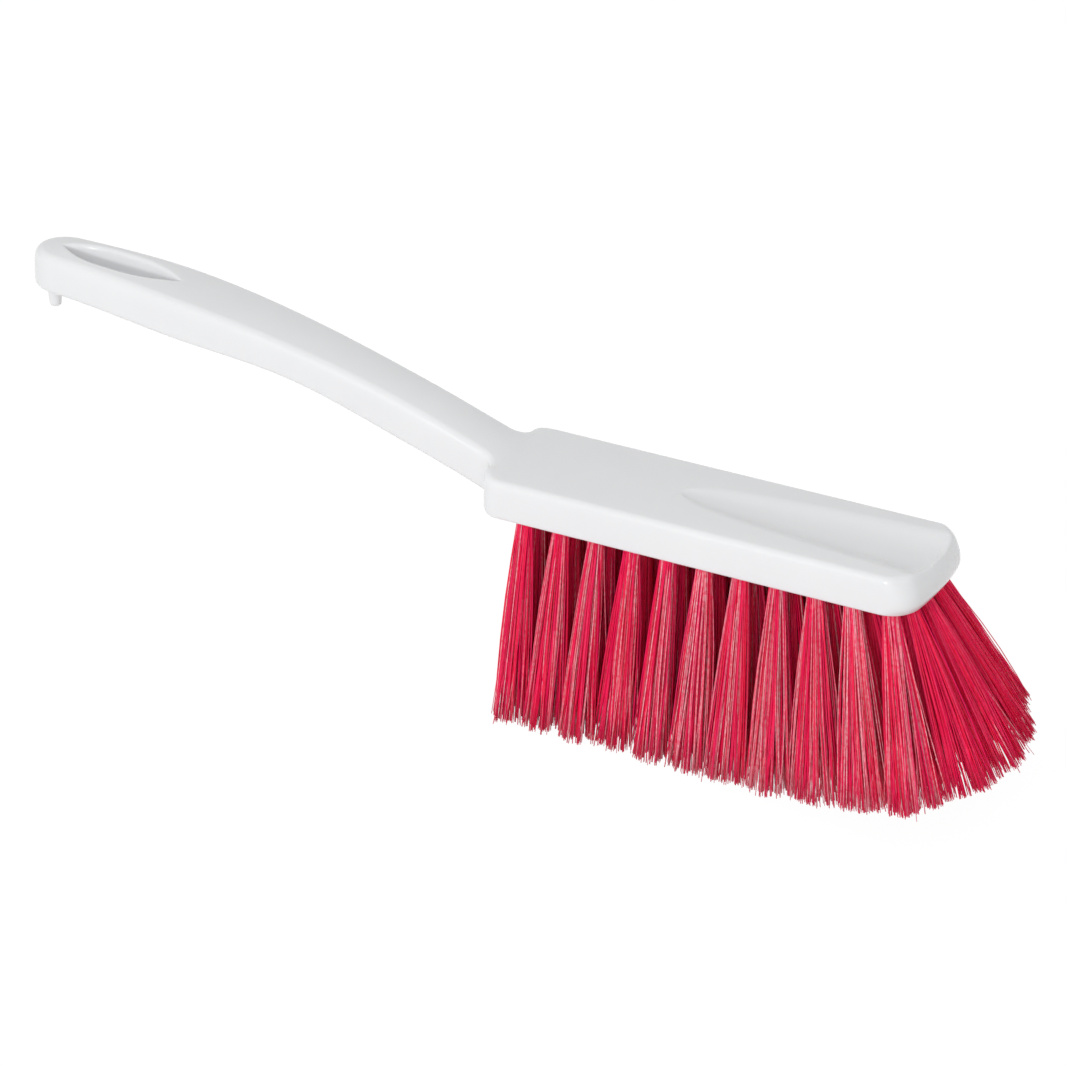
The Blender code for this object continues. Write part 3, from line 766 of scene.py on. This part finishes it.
def filament_faces(count, points):
    """The faces of the prisms: their sides, and both their ends."""
    faces = []
    for filament in range(count):
        base = filament * points * FILAMENT_SIDES
        for part in range(points - 1):
            low = base + part * FILAMENT_SIDES
            high = low + FILAMENT_SIDES
            for side in range(FILAMENT_SIDES):
                after = (side + 1) % FILAMENT_SIDES
                faces.append((low + side, low + after, high + after, high + side))
        end = base + (points - 1) * FILAMENT_SIDES
        faces.append(tuple(base + side for side in reversed(range(FILAMENT_SIDES))))
        faces.append(tuple(end + side for side in range(FILAMENT_SIDES)))
    return faces


def painted_glints(row, column, stray, dice):
    """How strongly each filament of a tuft is painted with a whitish pink highlight: the strays, and a
    share that differs from tuft to tuft.
    """
    middle = math.exp(-((column - GLINT_COLUMN) / GLINT_SPREAD) ** 2)
    share = (GLINT_LEAST + GLINT_MORE * middle) * dice.uniform(*GLINT_BY_TUFT)
    # Painted highlights are fewer on the rows behind the near one, which lie in shade, and none on their
    # fanned tufts
    if row > 0:
        share *= GLINT_BEHIND * (1.0 - tuft_place(row, column)[3])
    chosen = dice.random(len(stray)) < share
    glinting = dice.uniform(*GLINTING, len(stray))
    plain = dice.uniform(*PLAIN_GLINT, len(stray))
    painted_glint = np.where(chosen, glinting, plain)
    # Every stray gets a painted highlight of its own
    painted_glint[stray] = dice.uniform(*STRAY_GLINT, int(stray.sum()))
    return painted_glint


def bristle_tuft(row, column, dice):
    """One tuft's filaments as a mesh, with each filament's painted highlight and its tone of red."""
    paths, stray = filament_paths(row, column, dice)
    count, points, _ = paths.shape
    name = f"bristle_tuft_{row + 1}_{column + 1:02d}"
    mesh = bpy.data.meshes.new(name)
    corners = filament_prisms(paths, dice).reshape(-1, 3)
    mesh.from_pydata(corners.tolist(), [], filament_faces(count, points))
    mesh.shade_smooth()
    painted_glint = painted_glints(row, column, stray, dice)
    # The painted highlight and the random tone of red are stored on every point of each filament, for the
    # shader
    for label, values in (("painted_glint", painted_glint), ("tone", dice.random(count))):
        attribute = mesh.attributes.new(label, "FLOAT", "POINT")
        attribute.data.foreach_set("value", np.repeat(values, points * FILAMENT_SIDES))
    mesh.materials.append(crimson)
    tuft = bpy.data.objects.new(name, mesh)
    bpy.context.collection.objects.link(tuft)
    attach(tuft, "root")
    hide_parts(f"tuft_row{row + 1}_{column + 1:02d}")


# Polyester filament, melt drawn and dyed crimson. Each bristle is smooth and rather glossy, and single
# bristles differ a little in depth of colour. The whitish pink lines, where many bristles catch the light,
# are painted highlights mixed into the base colour, and they break up about every 1.25 mm, where a
# filament bends or leaves the light.
GLINT_BREAK_MM = 1.25

crimson, tree, shader = new_material("drawn_crimson_polyester")
shader.inputs["IOR"].default_value = 1.45
shader.inputs["Specular IOR Level"].default_value = 0.2
shader.inputs["Roughness"].default_value = 0.36
tone = add_node(tree, "ShaderNodeAttribute", {"attribute_name": "tone"}, {}).outputs["Fac"]
# Painted highlight: how strongly each filament's base colour is whitened into a glint
painted_glint = add_node(tree, "ShaderNodeAttribute", {"attribute_name": "painted_glint"}, {}).outputs["Fac"]
where = add_node(tree, "ShaderNodeTexCoord", {}, {}).outputs["Object"]
reds = add_node(tree, "ShaderNodeMix", {"data_type": "RGBA"}, {"Factor": tone})
reds.inputs["A"].default_value = linear("#FF044A")
reds.inputs["B"].default_value = linear("#FF1468")
# Noise that breaks the painted highlights into short dashes along the filaments
glint_breaks = add_node(tree, "ShaderNodeTexNoise", {},
                   {"Vector": where, "Scale": 1000.0 / GLINT_BREAK_MM, "Detail": 2.0})
glint_patches = add_node(tree, "ShaderNodeMapRange", {},
                 {"Value": glint_breaks.outputs["Fac"], "From Min": 0.35, "From Max": 0.6,
                  "To Min": 0.35, "To Max": 1.0})
glint_in_patches = add_node(tree, "ShaderNodeMath", {"operation": "MULTIPLY"}, {0: painted_glint, 1: glint_patches.outputs["Result"]})
# Base colour: the red tones, whitened by the painted highlights
reds_and_glints = add_node(tree, "ShaderNodeMix", {"data_type": "RGBA"},
                 {"Factor": glint_in_patches.outputs["Value"], "A": reds.outputs["Result"]})
reds_and_glints.inputs["B"].default_value = linear("#FFB9C2")
tree.links.new(reds_and_glints.outputs["Result"], shader.inputs["Base Color"])

# One seed, so that every run draws the same filaments
dice = np.random.default_rng(7)
for row in range(TUFT_ROWS):
    for column in range(TUFT_COLUMNS):
        bristle_tuft(row, column, dice)


# Studio floor, light and camera
#
# The broom stands on a seamless white table. A small softbox facing its long side gives the thin
# highlights, a broad one in front of it fills the side walls, and the white room lights the rest.

# Size in metres, and strengths of the table's own glow and of the room's light
TABLE_SIZE = 6.0
TABLE_GLOW = 1.045
TABLE_GLOW_SHARE = 0.93
ROOM_LIGHT = 0.685

floor_bm = bmesh.new()
bmesh.ops.create_grid(floor_bm, x_segments=2, y_segments=2, size=TABLE_SIZE)

# Painted board, rolled matt. The camera and the reflections see it as pure white by its own glow, so
# that it takes only a trace of the broom's shadow, and the light that falls on it comes back softly.
table_white, tree, shader = new_material("matt_white_table")
shader.inputs["Base Color"].default_value = linear("#DDDDDD")
shader.inputs["Roughness"].default_value = 0.9
ray = add_node(tree, "ShaderNodeLightPath", {}, {})
seen = add_node(tree, "ShaderNodeMath", {"operation": "MAXIMUM"},
                {0: ray.outputs["Is Camera Ray"], 1: ray.outputs["Is Glossy Ray"]})
share = add_node(tree, "ShaderNodeMath", {"operation": "MULTIPLY"},
                 {0: seen.outputs["Value"], 1: TABLE_GLOW_SHARE})
glow = add_node(tree, "ShaderNodeEmission", {}, {"Strength": TABLE_GLOW})
blend = add_node(tree, "ShaderNodeMixShader", {},
                 {0: share.outputs["Value"], 1: shader.outputs["BSDF"], 2: glow.outputs["Emission"]})
tree.links.new(blend.outputs["Shader"], tree.nodes["Material Output"].inputs["Surface"])
table = add_object("studio_floor", floor_bm, table_white)

scene = bpy.context.scene
world = bpy.data.worlds.new("white_room")
world.use_nodes = True
tree = world.node_tree
ray = add_node(tree, "ShaderNodeLightPath", {}, {})
room = add_node(tree, "ShaderNodeMapRange", {},
                {"Value": ray.outputs["Is Camera Ray"], "To Min": ROOM_LIGHT, "To Max": 1.0})
tree.nodes["Background"].inputs["Color"].default_value = linear("#FFFFFF")
tree.links.new(room.outputs["Result"], tree.nodes["Background"].inputs["Strength"])
scene.world = world


def softbox(name, way, distance, size, power):
    """A square softbox that faces the middle of the broom from a direction."""
    lamp = bpy.data.lights.new(name, "AREA")
    lamp.shape = "SQUARE"
    lamp.size = size
    lamp.energy = power
    item = bpy.data.objects.new(name, lamp)
    bpy.context.collection.objects.link(item)
    way = Vector(way).normalized()
    item.location = Vector((0.0, 0.0, UNDERSIDE)) + way * distance
    item.rotation_euler = way.to_track_quat("Z", "Y").to_euler()


softbox("key_softbox", way=(-0.03, -0.94, 0.34), distance=1.8, size=0.18, power=8.2)
softbox("front_softbox", way=(0.15, -0.95, 0.26), distance=0.9, size=1.0, power=1.2)

# Camera, turned and raised from square to the broom's side, and aimed at its middle
YAW = math.radians(28.24)
ELEVATION = math.radians(28.09)
DISTANCE = 1.7
PIXELS = 1066.0
FOCAL_PIXELS = 5253.0
SENSOR_MM = 36.0
AIM = Vector((REAR_END + 0.0120, 0.0, 0.0553))

camera = bpy.data.objects.new("camera", bpy.data.cameras.new("camera"))
bpy.context.collection.objects.link(camera)
camera.data.sensor_width = SENSOR_MM
camera.data.lens = FOCAL_PIXELS / PIXELS * SENSOR_MM
camera.data.clip_end = 20.0
level = math.cos(ELEVATION)
way = Vector((math.sin(YAW) * level, -math.cos(YAW) * level, math.sin(ELEVATION)))
camera.location = AIM + way * DISTANCE
camera.rotation_euler = way.to_track_quat("Z", "Y").to_euler()
scene.camera = camera
scene.view_settings.view_transform = "Standard"
